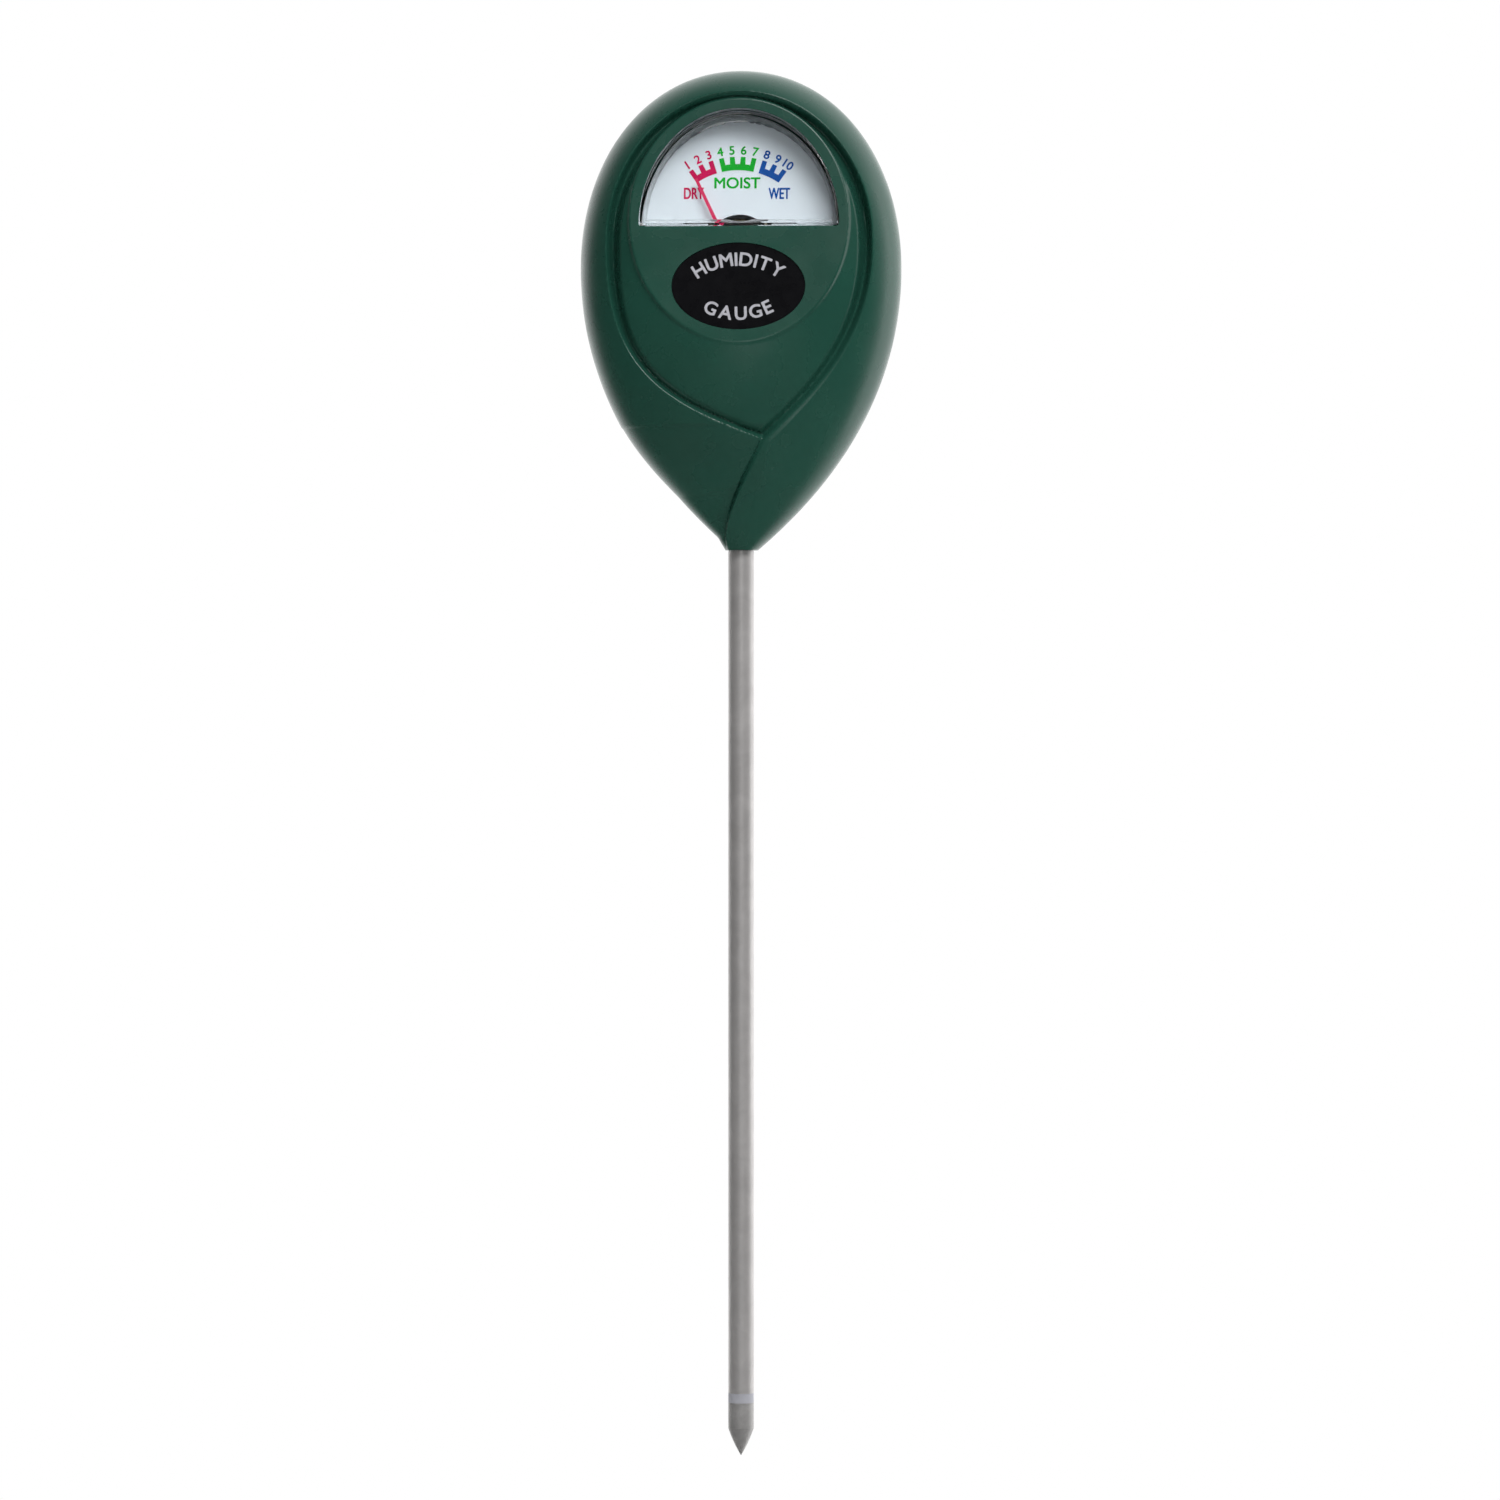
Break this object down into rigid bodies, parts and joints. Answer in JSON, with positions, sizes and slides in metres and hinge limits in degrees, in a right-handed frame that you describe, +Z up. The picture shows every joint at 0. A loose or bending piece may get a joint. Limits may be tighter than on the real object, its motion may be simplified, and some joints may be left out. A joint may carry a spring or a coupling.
{
  "type": "soil moisture meter",
  "caption": "Hand-held soil moisture meter with an egg-shaped green housing, a needle dial behind a half-round clear lens, and a long pointed two-metal probe.",
  "frame": {"origin": "the point of the probe, on the probe's axis, where the meter enters the soil", "axes": "+Z up the probe to the top of the housing, -Y out of the dial towards the reader, +X to the reader's right"},
  "size_m": [0.0602, 0.031, 0.26],
  "materials": {
    "housing_green": "satin moulded",
    "badge_black": "satin",
    "lens_clear": "clear polished",
    "dial_white": "printed matte",
    "needle_red": "painted",
    "tray_white": "moulded",
    "bobbin_plastic": "thin moulded",
    "copper_wire": "enamelled copper wire",
    "magnet_iron": "ground",
    "plated_steel": "zinc plated",
    "screw_steel": "nickel plated",
    "brass_part": "turned",
    "spring_bronze": "bright",
    "lead_red": "insulated wire",
    "lead_black": "insulated wire",
    "probe_metal": "drawn, satin",
    "tip_metal": "turned, dull",
    "insulator_plastic": "moulded"
  },
  "bodies": {
    "housing": {"badge": "badge_black", "bridge_post_1": "brass_part", "bridge_post_2": "brass_part", "bridge_screw_1": "screw_steel", "bridge_screw_2": "screw_steel", "core_magnet": "magnet_iron", "core_support_1": "brass_part", "core_support_2": "brass_part", "dial_plate": "dial_white", "dial_screw_1": "screw_steel", "dial_screw_2": "screw_steel", "front_bridge": "plated_steel", "front_jewel_screw": "brass_part", "front_shell": "housing_green", "housing_screw_1": "screw_steel", "housing_screw_2": "screw_steel", "housing_screw_3": "screw_steel", "inner_rod": "tip_metal", "insulator_bush": "insulator_plastic", "lens": "lens_clear", "meter_base": "tray_white", "meter_screw_1": "screw_steel", "meter_screw_2": "screw_steel", "needle_stop_1": "screw_steel", "needle_stop_2": "screw_steel", "negative_terminal": "brass_part", "positive_terminal": "brass_part", "probe_collar": "screw_steel", "probe_tip": "tip_metal", "probe_tube": "probe_metal", "rear_bridge": "plated_steel", "rear_jewel_screw": "brass_part", "rear_shell": "housing_green", "rod_lead": "lead_red", "rod_sleeve": "insulator_plastic", "rod_tag": "brass_part", "tube_clip": "brass_part", "tube_lead": "lead_black", "yoke": "plated_steel"},
    "needle_assembly": {"needle": "needle_red", "needle_hub": "brass_part", "balance_weight_1": "brass_part", "balance_weight_2": "brass_part", "balance_weight_3": "brass_part", "front_pivot": "screw_steel", "rear_pivot": "screw_steel", "coil_former": "bobbin_plastic", "coil_winding": "copper_wire", "front_hairspring": "spring_bronze", "rear_hairspring": "spring_bronze"},
    "zero_adjuster": {"zero_adjuster": "brass_part"}
  },
  "joints": [
    {"name": "needle_swing", "type": "hinge", "parent": "housing", "child": "needle_assembly", "pos_m": [0, -0.00855, 0.22167], "axis": [0, 0.9877, -0.1564], "range_deg": [-2, 51.2], "stiffness_Nm_per_rad": 0.000002},
    {"name": "zero_set", "type": "hinge", "parent": "housing", "child": "zero_adjuster", "pos_m": [0, -0.00855, 0.22167], "axis": [0, 0.9877, -0.1564], "range_deg": [-7, 7]}
  ]
}
